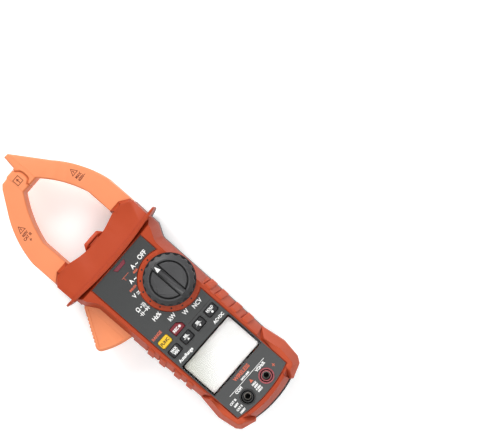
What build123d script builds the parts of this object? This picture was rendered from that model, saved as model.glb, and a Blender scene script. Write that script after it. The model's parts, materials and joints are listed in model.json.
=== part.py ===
"""Clamp meter: a hand-held AC/DC current clamp with a rotary switch, six keys and two input jacks.

Millimetres. +Z points out of the display face, +Y from the base towards the jaws, +X to the right as
seen from the front. The origin lies on the rear face, on the mid-line, half-way along the meter.
Every sub-part is written to parts/NODE.step.
"""

from build123d import *
import os
from math import atan, cos, degrees, radians, sin, sqrt

# ---------------------------------------------------------------- driving dimensions

# Stack of zones along Y, from the base end to the jaw tip
BASE_TO_JACKS = 18.5
JACKS_TO_WINDOW = 18.2
WINDOW_HEIGHT = 27.2
WINDOW_TO_KEYS = 11.6
KEY_ROW_PITCH = 9.1
KEYS_TO_KNOB_RING = 4.1
KNOB_RING_TO_PANEL_TOP = 13.3
PANEL_TOP_TO_BARRIER = 3.8
HEAD_LENGTH = 20.0
JAW_WINDOW_LENGTH = 54.8
JAW_END_DEPTH = 15.6
TIP_HOOK_LENGTH = 10.1

# Widths across X
GRIP_WIDTH = 65.0
WAIST_WIDTH = 62.0
SHOULDER_WIDTH = 76.6
FLARE_WIDTH = 68.8
SHOULDER_FILLET = 6.0
PANEL_WIDTH = 50.6
WINDOW_WIDTH = 45.3
LENS_MARGIN = 1.1
JAW_OPENING = 46.0
JAW_LEG_WIDTH = 15.5
BARRIER_OVERHANG = 6.0
BARRIER_RISE = 1.0

# Levels along Z
SPLIT_Z = 13.0
BEVEL_Z = 24.0
RIM_Z = 37.0
BEVEL_INSET = 5.0
HEAD_BACK_Z = 3.0
HEAD_TOP_AT_BARRIER_Z = 36.2
HEAD_TOP_AT_JAWS_Z = 33.4
JAW_MID_Z = 19.5
JAW_THICKNESS = 18.0
TRIGGER_THICKNESS = 14.0
BOARD_Z = 27.2
BOARD_THICKNESS = 1.6

# Walls and clearances
WALL = 2.3
FACE_WALL = 2.2
JAW_WALL = 1.8
OVERLAY_THICKNESS = 0.8
PANEL_RECESS = 0.8
PANEL_GAP = 0.7
MOVING_GAP = 0.35
FIT_GAP = 0.15
KEY_GAP = 0.3

# Switch, keys, jacks
KNOB_RADIUS = 17.4
KNOB_RING_WIDTH = 4.0
KNOB_OFFSET_X = 15.4
KNOB_HEIGHT = 8.4
KNOB_RIM_WIDTH = 4.3
KNOB_RECESS_DEPTH = 4.0
KNOB_GROOVE = 1.1
KNOB_DISH_HEIGHT = 2.6
KNOB_BAR_WIDTH = 4.4
KNOB_SCALLOPS = 20
SWITCH_STEP = 22.5
ROTOR_RADIUS = 10.4
ROTOR_STEM_RADIUS = 4.2
DETENT_RING_RADIUS = 10.8
KEY_WIDTH = 8.8
KEY_HEIGHT = 6.1
KEY_PITCH = 12.1
KEY_STAND_PROUD = 1.2
KEY_TRAVEL = 0.9
JACK_PITCH = 19.0
JACK_RADIUS = 5.4
JACK_DEPTH = 20.0
JACK_RISE = 0.5
JACK_RING_WALL = 0.9
JACK_TUBE_RADIUS = 3.7
JACK_MOUTH_RADIUS = 3.05
PLUG_RADIUS = 2.0
SLEEVE_WALL = 0.4
SLEEVE_DEPTH = 4.6
SLEEVE_LENGTH = 13.0

# Jaw pivot and trigger
PIVOT_OFFSET_X = 21.0
PIVOT_BELOW_HEAD = 11.0
PIN_RADIUS = 2.5
PIN_GAP = 0.05
HUB_RADIUS = 7.4
FOOT_RADIUS = 11.2
TRIGGER_RADIUS = 55.2
TRIGGER_EDGE = 1.4
THUMB_BORDER = 2.6
THUMB_FIELD_DEPTH = 0.5
JAW_EDGE = 0.8
END_PAD_HALF = 6.25
END_PAD_RISE = 0.4

# Side grips: each pad's distance below the switch ring
GRIP_SKIN = 1.6
GRIP_PAD_RISE = 1.1
GRIP_PAD_LENGTH = 5.2
GRIP_SLANT = 3.4
GRIP_PADS_BELOW = (0.0, 10.2, 23.4, 34.2)

# Battery, a 9 V block, and its bay
BATTERY_WIDTH = 26.5
BATTERY_LENGTH = 46.4
BATTERY_THICKNESS = 17.5
TERMINAL_HEIGHT = 2.6
BAY_GAP = 0.6
DOOR_THICKNESS = 2.1
DOOR_RECESS = 0.3
DOOR_MARGIN = 10.0

# Work lamp between the jaws
LAMP_WIDTH = 17.8
LAMP_STEM = 10.6
LAMP_LENGTH = 7.6
LAMP_RADIUS = 2.6

# Screws
SCREW_RADIUS = 1.5
SCREW_HEAD_RADIUS = 2.8
SCREW_HEAD_HEIGHT = 2.0
BOSS_RADIUS = 3.6
BOARD_SCREW_RADIUS = 1.0
POST_RADIUS = 2.4

# ---------------------------------------------------------------- derived stations

KNOB_RING_RADIUS = KNOB_RADIUS + KNOB_RING_WIDTH
KNOB_RECESS_RADIUS = KNOB_RADIUS - KNOB_RIM_WIDTH
BODY_LENGTH = (
    BASE_TO_JACKS + JACKS_TO_WINDOW + WINDOW_HEIGHT + WINDOW_TO_KEYS + KEY_ROW_PITCH
    + KEYS_TO_KNOB_RING + 2 * KNOB_RING_RADIUS + KNOB_RING_TO_PANEL_TOP + PANEL_TOP_TO_BARRIER
)
OVERALL_LENGTH = BODY_LENGTH + HEAD_LENGTH + JAW_WINDOW_LENGTH + JAW_END_DEPTH + TIP_HOOK_LENGTH

BASE_Y = -OVERALL_LENGTH / 2
JACK_Y = BASE_Y + BASE_TO_JACKS
WINDOW_Y = JACK_Y + JACKS_TO_WINDOW + WINDOW_HEIGHT / 2
KEY_LOW_Y = WINDOW_Y + WINDOW_HEIGHT / 2 + WINDOW_TO_KEYS
KEY_HIGH_Y = KEY_LOW_Y + KEY_ROW_PITCH
KNOB_Y = KEY_HIGH_Y + KEYS_TO_KNOB_RING + KNOB_RING_RADIUS
PANEL_TOP_Y = KNOB_Y + KNOB_RING_RADIUS + KNOB_RING_TO_PANEL_TOP
BARRIER_Y = PANEL_TOP_Y + PANEL_TOP_TO_BARRIER
HEAD_Y = BARRIER_Y + HEAD_LENGTH
CLOSE_IN_Y = HEAD_Y + JAW_WINDOW_LENGTH
CLOSE_OUT_Y = CLOSE_IN_Y + JAW_END_DEPTH
TIP_Y = CLOSE_OUT_Y + TIP_HOOK_LENGTH

GRIP_HALF = GRIP_WIDTH / 2
WAIST_HALF = WAIST_WIDTH / 2
SHOULDER_HALF = SHOULDER_WIDTH / 2
FLARE_HALF = FLARE_WIDTH / 2
PANEL_HALF = PANEL_WIDTH / 2
JAW_HALF = JAW_OPENING / 2
HEAD_HALF = JAW_HALF + JAW_LEG_WIDTH
BARRIER_HALF = HEAD_HALF + BARRIER_OVERHANG
PIVOT_X = -PIVOT_OFFSET_X
PIVOT_Y = HEAD_Y - PIVOT_BELOW_HEAD

BEVEL_TAPER = degrees(atan(BEVEL_INSET / (RIM_Z - BEVEL_Z)))
PANEL_FLOOR_Z = RIM_Z - PANEL_RECESS - OVERLAY_THICKNESS
OVERLAY_TOP_Z = PANEL_FLOOR_Z + OVERLAY_THICKNESS
CAVITY_TOP_Z = PANEL_FLOOR_Z - FACE_WALL
JAW_LOW_Z = JAW_MID_Z - JAW_THICKNESS / 2
JAW_HIGH_Z = JAW_MID_Z + JAW_THICKNESS / 2
TRIGGER_LOW_Z = JAW_MID_Z - TRIGGER_THICKNESS / 2
TRIGGER_HIGH_Z = JAW_MID_Z + TRIGGER_THICKNESS / 2
BOARD_TOP_Z = BOARD_Z + BOARD_THICKNESS
KNOB_FOOT_Z = RIM_Z + MOVING_GAP
KNOB_TOP_Z = KNOB_FOOT_Z + KNOB_HEIGHT

# The head's sloping shoulder: how far in from its side and down from its top it starts and ends
SHOULDER_OUTER = (1.4, 3.8)
SHOULDER_INNER = (5.6, 0.7)

BASE_STRIP_HALF = 17.5
BASE_STRIP_RISE = 4.3
BASE_STRIP_SAG = 2.0
HEAD_HOLLOW = 4.3
LAMP_Y = HEAD_Y - HEAD_HOLLOW - WALL + 0.1

BAY_HALF = BATTERY_WIDTH / 2 + BAY_GAP
BAY_LENGTH = BATTERY_LENGTH + TERMINAL_HEIGHT + 4.0
BAY_WALL = 1.6
BAY_Y0 = JACK_Y + 14.5
BAY_Y1 = BAY_Y0 + BAY_LENGTH
DOOR_LIP = 3.6
DOOR_HALF = BAY_HALF + DOOR_LIP
DOOR_Y0 = BAY_Y0 - DOOR_MARGIN
DOOR_Y1 = BAY_Y1 + DOOR_MARGIN
DOOR_TOP_Z = DOOR_RECESS + DOOR_THICKNESS
LEDGE_THICKNESS = 1.6
PAD_THICKNESS = 1.2
BATTERY_Z = DOOR_TOP_Z + PAD_THICKNESS
BAY_ROOF_Z = BATTERY_Z + BATTERY_THICKNESS + BAY_GAP

CASE_SCREWS = [
    (WAIST_HALF - 8.0, BASE_Y + 12.5),
    (8.0 - WAIST_HALF, BASE_Y + 12.5),
    (SHOULDER_HALF - 8.4, BARRIER_Y - 8.0),
    (-2.0, BARRIER_Y - 3.6),
]
DOOR_SCREWS = [(0.0, DOOR_Y0 + DOOR_MARGIN / 2), (0.0, DOOR_Y1 - DOOR_MARGIN / 2)]
BOARD_POSTS = [
    (WAIST_HALF - 9.5, JACK_Y + 8.5),
    (9.5 - WAIST_HALF, JACK_Y + 8.5),
    (9.5 - WAIST_HALF, KNOB_Y - 9.0),
    (KNOB_OFFSET_X + 3.0, PANEL_TOP_Y - 5.0),
]
JACKS = {"com": -JACK_PITCH / 2, "volt": JACK_PITCH / 2}
KEYS = {
    "key_function": (-1.5 * KEY_PITCH, KEY_HIGH_Y),
    "key_record": (-0.5 * KEY_PITCH, KEY_HIGH_Y),
    "key_max_min": (-1.5 * KEY_PITCH, KEY_LOW_Y),
    "key_up": (-0.5 * KEY_PITCH, KEY_LOW_Y),
    "key_down": (0.5 * KEY_PITCH, KEY_LOW_Y),
    "key_hold": (1.5 * KEY_PITCH, KEY_LOW_Y),
}


# ---------------------------------------------------------------- helpers

def save(name, shape):
    """Write one node, made only of solids."""
    solids = shape.solids()
    export_step(Compound(children=list(solids)) if len(solids) > 1 else solids[0], f"parts/{name}.step")


def block(x0, x1, y0, y1, z0, z1):
    """A box given by its limits."""
    return Pos((x0 + x1) / 2, (y0 + y1) / 2, (z0 + z1) / 2) * Box(x1 - x0, y1 - y0, z1 - z0)


def rod(x, y, radius, z0, z1):
    """A cylinder along Z."""
    return Pos(x, y, (z0 + z1) / 2) * Cylinder(radius, z1 - z0)


def tube(x, y, outer, inner, z0, z1):
    return rod(x, y, outer, z0, z1) - rod(x, y, inner, z0, z1)


def prism(face, z0, z1):
    return extrude(Pos(0, 0, z0) * face, amount=z1 - z0)


def polygon(*points):
    return make_face(Polyline(*points, close=True))


def bowed(start, end, bow):
    """An arc from start to end whose middle stands off the chord by bow, to the left of travel."""
    (x0, y0), (x1, y1) = start, end
    length = sqrt((x1 - x0) ** 2 + (y1 - y0) ** 2)
    middle = ((x0 + x1) / 2 - (y1 - y0) / length * bow, (y0 + y1) / 2 + (x1 - x0) / length * bow)
    return ThreePointArc(start, middle, end)


def grown(face, amount):
    """A plan outline moved outwards by amount, or inwards where it is negative."""
    return offset(face, amount=amount, kind=Kind.INTERSECTION) if amount else face


def chamfered_prism(face, z0, z1, edge, low=False, high=True):
    """A prism whose outline draws in by edge, at 45 degrees, at its low or high face."""
    bottom = z0 + edge if low else z0
    top = z1 - edge if high else z1
    made = prism(face, bottom, top)
    if high:
        made += extrude(Pos(0, 0, top) * face, amount=edge, taper=45)
    if low:
        made += extrude(Pos(0, 0, bottom) * face, amount=-edge, taper=45)
    return made


def handed(shape, side):
    """The shape as drawn for side 1, or its mirror image across the mid-line for side -1."""
    return shape if side > 0 else mirror(shape, Plane.YZ)


def around_pivot(radius, angle):
    """The point at that radius and angle, in degrees, about the jaw pivot."""
    return (PIVOT_X + radius * cos(radians(angle)), PIVOT_Y + radius * sin(radians(angle)))


def ring_sector(outer, inner, start, end):
    """A plan ring sector about the jaw pivot, from start to end degrees anticlockwise."""
    middle = (start + end) / 2
    return make_face([
        ThreePointArc(around_pivot(outer, start), around_pivot(outer, middle), around_pivot(outer, end)),
        Line(around_pivot(outer, end), around_pivot(inner, end)),
        ThreePointArc(around_pivot(inner, end), around_pivot(inner, middle), around_pivot(inner, start)),
        Line(around_pivot(inner, start), around_pivot(outer, start)),
    ])


# ---------------------------------------------------------------- case outlines

def body_outline(base_rise):
    """Plan of the grip, from the base to the barrier. base_rise sets how far up the base arc lies."""
    waist_end = (GRIP_HALF + 0.3, BARRIER_Y - 16.0)
    side = [
        (BASE_STRIP_HALF, BASE_Y + base_rise),
        (WAIST_HALF - 5.4, BASE_Y + base_rise + 1.6),
        (WAIST_HALF - 0.4, BASE_Y + base_rise + 6.6),
        (GRIP_HALF, KNOB_Y - KNOB_RING_RADIUS),
        waist_end,
        (SHOULDER_HALF - 0.3, BARRIER_Y - 7.2),
        (SHOULDER_HALF, BARRIER_Y + 1.0),
    ]
    left = [(-x, y) for x, y in reversed(side)]
    outline = make_face([
        ThreePointArc(left[-1], (0, BASE_Y + base_rise - BASE_STRIP_SAG), side[0]),
        Polyline(*side),
        Line(side[-1], left[0]),
        Polyline(*left),
    ])
    hollows = [v for v in outline.vertices() if abs(v.Y - waist_end[1]) < 0.01]
    return fillet(hollows, SHOULDER_FILLET)


def head_outline():
    """Plan of the head, from the barrier to the jaw roots, hollowed between the jaws."""
    side = [
        (HEAD_HALF - 0.3, BARRIER_Y - 1.0),
        (HEAD_HALF + 0.2, HEAD_Y - 5.4),
        (HEAD_HALF - SHOULDER_OUTER[0], HEAD_Y - SHOULDER_OUTER[1]),
        (HEAD_HALF - SHOULDER_INNER[0], HEAD_Y - SHOULDER_INNER[1]),
        (HEAD_HALF - 8.8, HEAD_Y),
        (JAW_HALF - 0.4, HEAD_Y - 0.4),
        (JAW_HALF - 4.0, HEAD_Y - 1.3),
    ]
    left = [(-x, y) for x, y in reversed(side)]
    return make_face([
        Line(left[-1], side[0]),
        Polyline(*side),
        ThreePointArc(side[-1], (0, HEAD_Y - HEAD_HOLLOW), left[0]),
        Polyline(*left),
    ])


def above_shoulder(x):
    """The height along the meter, at x, of a line just clear of the head's sloping shoulder."""
    (outer_in, outer_down), (inner_in, inner_down) = SHOULDER_OUTER, SHOULDER_INNER
    slope = (outer_down - inner_down) / (inner_in - outer_in)
    return HEAD_Y - outer_down + slope * (HEAD_HALF - outer_in - x) + MOVING_GAP


def bumper_outline():
    """Plan of the soft base corner on the right."""
    return polygon(
        (BASE_STRIP_HALF, BASE_Y + 12.0),
        (BASE_STRIP_HALF, BASE_Y + 3.6),
        (BASE_STRIP_HALF + 1.8, BASE_Y + 2.2),
        (FLARE_HALF - 4.6, BASE_Y + 5.8),
        (FLARE_HALF - 2.0, BASE_Y + 9.4),
        (FLARE_HALF, WINDOW_Y - WINDOW_HEIGHT),
        (WAIST_HALF + 0.6, WINDOW_Y - WINDOW_HEIGHT / 3),
        (WAIST_HALF - 8.0, WINDOW_Y - WINDOW_HEIGHT / 3),
    )


def bevelled(face, grow, z0, z1):
    """A case block: straight walls to the bevel level, then walls that lean in towards the rim."""
    outline = grown(face, grow)
    lean = extrude(Pos(0, 0, BEVEL_Z) * outline, amount=z1 - BEVEL_Z, taper=BEVEL_TAPER)
    return prism(outline, z0, BEVEL_Z) + lean


def panel_outline(gap):
    """Plan of the display panel: a tall rectangle with a bowed foot, cut round the switch ring."""
    half = PANEL_HALF - gap
    foot = BASE_Y + 13.6 + gap
    plate = make_face([
        ThreePointArc((-half, foot), (0, foot - 3.6), (half, foot)),
        Polyline((half, foot), (half, PANEL_TOP_Y - gap), (-half, PANEL_TOP_Y - gap), (-half, foot)),
    ])
    return plate - Pos(KNOB_OFFSET_X, KNOB_Y) * Circle(KNOB_RING_RADIUS + gap)


def key_outline(name, gap):
    """Plan of one key, grown by gap. The record key has one corner cut away."""
    x, y = KEYS[name]
    wide, high = KEY_WIDTH / 2 + gap, KEY_HEIGHT / 2 + gap
    if name == "key_record":
        cut = KEY_HEIGHT / 2
        shape = polygon((x - wide, y - high), (x + wide + 0.6, y - high), (x + wide + 0.6, y + high - cut),
                        (x + wide + 0.6 - cut, y + high), (x - wide, y + high))
        return fillet(shape.vertices(), 0.5)
    return Pos(x, y) * RectangleRounded(2 * wide, 2 * high, 1.2)


def alarm_outline(gap):
    """Plan of the alarm lamp's lens: a shallow trapezium just under the barrier."""
    y = PANEL_TOP_Y - 4.0
    return polygon((-5.6 - gap, y + 1.4 + gap), (-3.9 - gap, y - 1.4 - gap),
                   (3.9 + gap, y - 1.4 - gap), (5.6 + gap, y + 1.4 + gap))


def lens_outline(gap):
    """Plan of the display lens, which laps over the window by its margin."""
    lap = 2 * (LENS_MARGIN + gap)
    return Pos(0, WINDOW_Y) * RectangleRounded(WINDOW_WIDTH + lap, WINDOW_HEIGHT + lap, 0.8)


# ---------------------------------------------------------------- jaw outlines

SEAM = [
    (0.0, 0.0), (0.2, 2.1), (2.8, 3.4), (3.5, 5.2), (3.5, 9.2), (2.8, 11.5), (0.8, 13.3),
    (0.2, JAW_END_DEPTH),
]
NOSE_INSET = JAW_LEG_WIDTH + 0.4


def seam_points(shift):
    """The closing line between the jaws, from the inside out, moved by shift along X."""
    scale = JAW_END_DEPTH / SEAM[-1][1]
    return [(x + shift, CLOSE_IN_Y + y * scale) for x, y in SEAM]


def fixed_jaw_outline():
    """Plan of the fixed jaw: hooked tip, curved arm, leg into the head and foot towards the pivot."""
    seam = seam_points(MOVING_GAP / 2)
    leg_in_head = HEAD_HALF - WALL - MOVING_GAP - 0.3
    foot_top = HEAD_Y - HEAD_HOLLOW - WALL - 0.6
    foot_low = BARRIER_Y + 3.4
    gap_radius = FOOT_RADIUS + MOVING_GAP
    low_x = PIVOT_X + sqrt(gap_radius ** 2 - (foot_low - PIVOT_Y) ** 2)
    top_x = PIVOT_X + sqrt(gap_radius ** 2 - (foot_top - PIVOT_Y) ** 2)
    nose = (HEAD_HALF - NOSE_INSET, CLOSE_IN_Y + 0.4)
    return make_face([
        Polyline((6.4, TIP_Y - 0.3), nose),
        bowed(nose, (HEAD_HALF, HEAD_Y + 18.0), 2.6),
        Polyline((HEAD_HALF, HEAD_Y + 18.0), (HEAD_HALF, above_shoulder(HEAD_HALF)),
                 (leg_in_head, above_shoulder(leg_in_head)), (leg_in_head, foot_low), (low_x, foot_low)),
        ThreePointArc((low_x, foot_low), (PIVOT_X + gap_radius, PIVOT_Y), (top_x, foot_top)),
        Polyline((top_x, foot_top), (JAW_HALF - 4.2, foot_top), (JAW_HALF, foot_top + 4.2),
                 (JAW_HALF, HEAD_Y + 22.0)),
        bowed((JAW_HALF, HEAD_Y + 22.0), (7.0, CLOSE_IN_Y), -1.9),
        Polyline((7.0, CLOSE_IN_Y), *seam, (1.7, CLOSE_OUT_Y + 0.3), (3.0, TIP_Y), (6.4, TIP_Y - 0.3)),
    ])


def moving_arm_outline():
    """Plan of the moving jaw's arm and leg, above the pivot."""
    seam = seam_points(-MOVING_GAP / 2)
    nose = (NOSE_INSET - HEAD_HALF, CLOSE_IN_Y + 0.4)
    return make_face([
        Polyline(*seam, (-5.8, CLOSE_OUT_Y), (-7.0, CLOSE_OUT_Y - 0.9), (-11.6, CLOSE_OUT_Y - 1.2),
                 (-14.4, CLOSE_OUT_Y - 3.8), nose),
        bowed(nose, (-HEAD_HALF, HEAD_Y + 18.0), -2.6),
        Polyline((-HEAD_HALF, HEAD_Y + 18.0), (-HEAD_HALF, PIVOT_Y + 3.4), (-HEAD_HALF + 3.2, PIVOT_Y - 2.6),
                 (PIVOT_X, PIVOT_Y - 2.6), (PIVOT_X, PIVOT_Y + 6.0), (-JAW_HALF, PIVOT_Y + 6.0),
                 (-JAW_HALF, HEAD_Y + 22.0)),
        bowed((-JAW_HALF, HEAD_Y + 22.0), (-6.0, CLOSE_IN_Y), 1.9),
        Line((-6.0, CLOSE_IN_Y), seam[0]),
    ])


def trigger_outline():
    """Plan of the lever below the pivot, ending in the thumb trigger outside the grip."""
    inner_wall = -(SHOULDER_HALF - WALL - 0.8)
    start, end = 231.6, 262.0
    corner = around_pivot(TRIGGER_RADIUS, start)
    plate = make_face([
        ThreePointArc(corner, around_pivot(TRIGGER_RADIUS, (start + end) / 2),
                      around_pivot(TRIGGER_RADIUS, end)),
        Polyline(around_pivot(TRIGGER_RADIUS, end), (PIVOT_X + 5.0, PIVOT_Y - 9.0), (PIVOT_X, PIVOT_Y),
                 (inner_wall, PIVOT_Y), (inner_wall, BARRIER_Y - 5.4),
                 (-SHOULDER_HALF - 0.2, BARRIER_Y - 7.8), corner),
    ])
    rounded = plate.vertices().sort_by_distance(corner)[0]
    return fillet(rounded, 4.0)


def thumb_field():
    """Plan of the trigger's shallow field, inside its raised border."""
    outside = Pos(-SHOULDER_HALF - 18, BARRIER_Y - 30) * Rectangle(36 + 2 * WALL, 60)
    return grown(trigger_outline(), -THUMB_BORDER) & outside


def lever_outline():
    """Plan of the hub: a small round on the jaw side, a larger foot that closes the magnetic path."""
    hub = Pos(PIVOT_X, PIVOT_Y) * Circle(HUB_RADIUS)
    return hub + ring_sector(FOOT_RADIUS, 1.0, 190, 345)


def fixed_core_outline():
    return grown(fixed_jaw_outline(), -JAW_WALL - FIT_GAP) - polygon(
        (-1.0, CLOSE_IN_Y - 5.0), (6.8, CLOSE_IN_Y - 5.0), (6.8, TIP_Y + 5.0), (-1.0, TIP_Y + 5.0))


def moving_core_outline(gap):
    """Plan of the moving jaw's core, grown by gap: the arm, and a foot that curls under the pivot."""
    arm = grown(moving_arm_outline(), gap - JAW_WALL - FIT_GAP)
    foot = ring_sector(FOOT_RADIUS - 1.2 + gap, PIN_RADIUS + 2.4 - gap, 172, 343)
    return arm - Pos(PIVOT_X, PIVOT_Y) * Circle(PIN_RADIUS + 2.4 - gap) + foot


# ---------------------------------------------------------------- front case

def barrier(z0, z1):
    """The finger barrier: a curved fin across the meter, with round corners seen along the meter."""
    thick, sag = 3.4, 1.5
    half = BARRIER_HALF
    middle = BARRIER_Y - sag
    band = make_face([
        ThreePointArc((-half, BARRIER_Y + 0.9), (0, middle - thick / 2), (half, BARRIER_Y + 0.9)),
        Line((half, BARRIER_Y + 0.9), (half, BARRIER_Y + 2.3)),
        ThreePointArc((half, BARRIER_Y + 2.3), (0, middle + thick / 2), (-half, BARRIER_Y + 2.3)),
        Line((-half, BARRIER_Y + 2.3), (-half, BARRIER_Y + 0.9)),
    ])
    low, high = 0.6, RIM_Z + BARRIER_RISE
    front_view = Plane.XZ * Pos(0, (low + high) / 2) * RectangleRounded(2 * half, high - low, 8.0)
    return prism(band, z0, z1) & extrude(front_view, amount=OVERALL_LENGTH, both=True)


def sloped_top():
    """Everything above the head's face, which falls from the barrier towards the jaws."""
    top = RIM_Z + 10
    side_view = Plane.YZ * polygon(
        (BARRIER_Y, HEAD_TOP_AT_BARRIER_Z), (HEAD_Y, HEAD_TOP_AT_JAWS_Z),
        (HEAD_Y + 10, HEAD_TOP_AT_JAWS_Z - 2.0), (HEAD_Y + 10, top), (BARRIER_Y - 10, top),
        (BARRIER_Y - 10, HEAD_TOP_AT_BARRIER_Z + 1.0))
    return extrude(side_view, amount=BARRIER_HALF, both=True)


def jaw_root_lip(side):
    """The bevelled lip of the head over one jaw root."""
    outline = polygon(
        (JAW_HALF - 0.4, HEAD_Y - 8.0), (HEAD_HALF, HEAD_Y - 8.0), (HEAD_HALF, HEAD_Y - 2.4),
        (HEAD_HALF - 6.8, HEAD_Y + 2.3), (JAW_HALF - 0.4, HEAD_Y + 2.3))
    low = JAW_HIGH_Z + MOVING_GAP
    high = HEAD_TOP_AT_JAWS_Z + 0.4
    return handed(extrude(Pos(0, 0, low) * outline, amount=high - low, taper=28), side)


def moving_jaw_room():
    """The space that the moving jaw and its lever sweep through the side of the case."""
    jaw_gap = MOVING_GAP
    side = block(-BARRIER_HALF - 5, -JAW_HALF + 1.2, BARRIER_Y + 2.6, HEAD_Y + 20,
                 JAW_LOW_Z - jaw_gap, JAW_HIGH_Z + jaw_gap)
    lowest = PIVOT_Y - TRIGGER_RADIUS - 0.8
    slot = block(-BARRIER_HALF - 5, PIVOT_X, lowest, BARRIER_Y - 5.0,
                 TRIGGER_LOW_Z - jaw_gap, TRIGGER_HIGH_Z + jaw_gap)
    return side + slot


def fixed_jaw_room():
    """The socket in the head that the fixed jaw's leg passes through."""
    return block(JAW_HALF - FIT_GAP, HEAD_HALF - WALL, HEAD_Y - 8, HEAD_Y + 5,
                 JAW_LOW_Z - FIT_GAP, JAW_HIGH_Z + FIT_GAP)


def grip_zone(side):
    """The stretch of side wall that carries the soft grip."""
    y0, y1 = WINDOW_Y - WINDOW_HEIGHT / 3, KNOB_Y - KNOB_RING_RADIUS + 3.4
    x = side * (PANEL_HALF + 1.2), side * (GRIP_HALF + 8)
    return block(min(x), max(x), y0, y1, SPLIT_Z + 1.5, RIM_Z - 1.0)


def hard_corner():
    """The case inside the soft base corners."""
    return bevelled(body_outline(BASE_STRIP_RISE), -1.4, SPLIT_Z, RIM_Z - 1.4)


def corner_zone(side):
    """Where the soft base corner takes the place of the hard case."""
    x = side * BASE_STRIP_HALF, side * (FLARE_HALF + 8)
    return block(min(x), max(x), BASE_Y - 2, WINDOW_Y - WINDOW_HEIGHT / 3, SPLIT_Z, RIM_Z + 1)


def panel_recess():
    return prism(panel_outline(0.0), PANEL_FLOOR_Z, RIM_Z + 5)


def front_case():
    outline = body_outline(BASE_STRIP_RISE)
    body = bevelled(outline, 0, SPLIT_Z, RIM_Z)
    shell = body + (prism(head_outline(), SPLIT_Z, RIM_Z) - sloped_top())
    shell += jaw_root_lip(1) + jaw_root_lip(-1)
    shell += barrier(SPLIT_Z, RIM_Z + 5)

    cavity_low = SPLIT_Z - 1
    cavity = bevelled(outline, -WALL, cavity_low, CAVITY_TOP_Z)
    head_cavity = prism(grown(head_outline(), -WALL), cavity_low, JAW_HIGH_Z + 2.2)
    passage = block(-SHOULDER_HALF + WALL, SHOULDER_HALF - WALL, BARRIER_Y - 4, BARRIER_Y + 4,
                    cavity_low, JAW_HIGH_Z + MOVING_GAP)
    shell -= cavity + head_cavity + passage

    inside = bevelled(outline, -WALL / 2, SPLIT_Z, PANEL_FLOOR_Z - 0.5)
    for x, y in CASE_SCREWS:
        shell += rod(x, y, BOSS_RADIUS, SPLIT_Z, CAVITY_TOP_Z + 0.5) & inside
    for x, y in BOARD_POSTS:
        shell += rod(x, y, POST_RADIUS, BOARD_TOP_Z, CAVITY_TOP_Z + 0.5)
    ring_low = BOARD_TOP_Z + 2.4
    detent_ring = tube(KNOB_OFFSET_X, KNOB_Y, DETENT_RING_RADIUS + 2.0, DETENT_RING_RADIUS,
                       ring_low, CAVITY_TOP_Z + 0.5)
    for step in range(round(360 / SWITCH_STEP)):
        angle = radians(step * SWITCH_STEP)
        detent_ring -= rod(KNOB_OFFSET_X + DETENT_RING_RADIUS * cos(angle),
                           KNOB_Y + DETENT_RING_RADIUS * sin(angle), 1.0, ring_low, CAVITY_TOP_Z)
    shell += detent_ring & inside
    shell += rod(PIVOT_X, PIVOT_Y, PIN_RADIUS + 2.0, JAW_HIGH_Z + MOVING_GAP, JAW_HIGH_Z + 3.0)

    shell -= panel_recess()
    shell -= prism(lens_outline(0.1), PANEL_FLOOR_Z - 0.6, RIM_Z)
    shell -= block(-WINDOW_WIDTH / 2 - 0.5, WINDOW_WIDTH / 2 + 0.5, WINDOW_Y - WINDOW_HEIGHT / 2 - 0.5,
                   WINDOW_Y + WINDOW_HEIGHT / 2 + 0.5, CAVITY_TOP_Z - 1, RIM_Z)
    for name in KEYS:
        shell -= prism(key_outline(name, KEY_GAP), CAVITY_TOP_Z - 1, RIM_Z)
    for x in JACKS.values():
        shell -= rod(x, JACK_Y, JACK_RADIUS, CAVITY_TOP_Z - 1, RIM_Z)
    shell -= prism(alarm_outline(0.0), CAVITY_TOP_Z - 1, RIM_Z)
    shell -= rod(KNOB_OFFSET_X, KNOB_Y, ROTOR_STEM_RADIUS + 0.3, CAVITY_TOP_Z - 1, RIM_Z + 1)

    for x, y in CASE_SCREWS:
        shell -= rod(x, y, SCREW_RADIUS, SPLIT_Z - 1, CAVITY_TOP_Z - 2)
    for x, y in BOARD_POSTS:
        shell -= rod(x, y, BOARD_SCREW_RADIUS, BOARD_TOP_Z - 1, CAVITY_TOP_Z - 0.4)
    shell -= rod(PIVOT_X, PIVOT_Y, PIN_RADIUS, SPLIT_Z, JAW_HIGH_Z + 2.6)
    shell -= moving_jaw_room() + fixed_jaw_room()
    hole = LAMP_STEM / 2 + 0.2
    shell -= block(-hole, hole, LAMP_Y - 2, HEAD_Y, JAW_MID_Z - hole, JAW_MID_Z + hole)

    hard = hard_corner()
    soft_skin = bevelled(outline, -GRIP_SKIN, SPLIT_Z, RIM_Z)
    for side in (1, -1):
        shell -= corner_zone(side) - hard
        shell -= grip_zone(side) - soft_skin
    return shell


def base_bumper(side):
    """A soft corner moulded over the case: wraps the flare, the base corner and the rim beside the panel."""
    skin = bevelled(bumper_outline(), 0, SPLIT_Z, RIM_Z) & corner_zone(1)
    return handed(skin - hard_corner(), side) - panel_recess()


def slanted(side, y, length, low, high):
    """A slanted bar across the side wall: its outer end lies nearer the base than its inner end."""
    inner, outer = PANEL_HALF + 1.4, GRIP_HALF + 3.0
    bar = polygon((inner, y + GRIP_SLANT), (outer, y), (outer, y + length), (inner, y + length + GRIP_SLANT))
    return handed(prism(bar, low, high), side)


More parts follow.
